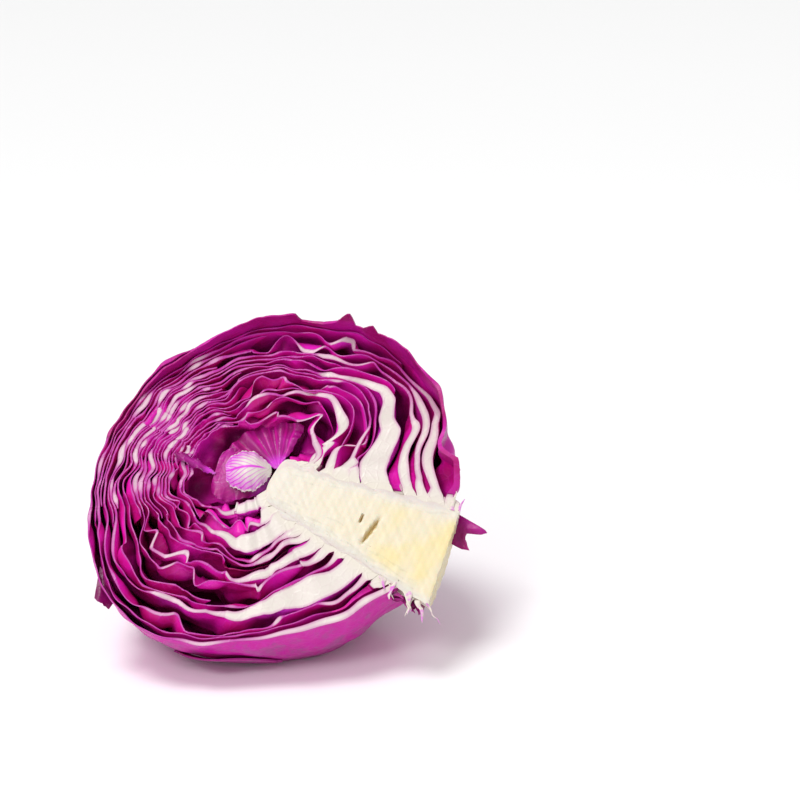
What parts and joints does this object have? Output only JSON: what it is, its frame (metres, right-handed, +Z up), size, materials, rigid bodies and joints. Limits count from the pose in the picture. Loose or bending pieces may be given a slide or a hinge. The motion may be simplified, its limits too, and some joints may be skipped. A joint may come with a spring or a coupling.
{
  "type": "red cabbage half",
  "caption": "Half a red cabbage cut through its stem: nested waved leaves with pale ribs round a cream core, resting on its outer leaves with the cut face leaning back.",
  "frame": {"origin": "on the flat spot of the outer leaf that the half rests on, straight below the heart of the leaves", "axes": "+Z up, +X level along the cut face towards the stem end, -Y the side that the cut face looks towards"},
  "size_m": [0.1634, 0.137, 0.1358],
  "materials": {
    "outer_leaf": "waxy satin",
    "inner_leaf": "moist satin",
    "heart_leaf": "moist satin",
    "core_flesh": "moist cut face"
  },
  "bodies": {
    "root": {"core": "core_flesh", "leaf_01": "outer_leaf", "leaf_02": "outer_leaf", "leaf_03": "outer_leaf", "leaf_04": "inner_leaf", "leaf_05": "inner_leaf", "leaf_06": "inner_leaf", "leaf_07": "inner_leaf", "leaf_08": "inner_leaf", "leaf_09": "inner_leaf", "leaf_10": "inner_leaf", "leaf_11": "inner_leaf", "leaf_12": "inner_leaf", "leaf_13": "inner_leaf", "leaf_14": "inner_leaf", "leaf_15": "inner_leaf", "leaf_16": "inner_leaf", "leaf_17": "inner_leaf", "leaf_18": "inner_leaf", "leaf_19": "inner_leaf", "leaf_20": "inner_leaf", "leaf_21": "inner_leaf", "leaf_22": "inner_leaf", "leaf_23": "inner_leaf", "leaf_24": "inner_leaf", "heart_leaf_cup": "heart_leaf", "heart_leaf_wrap": "heart_leaf", "heart_leaf_fan": "heart_leaf", "heart_leaf_ruffle": "heart_leaf"}
  },
  "joints": []
}
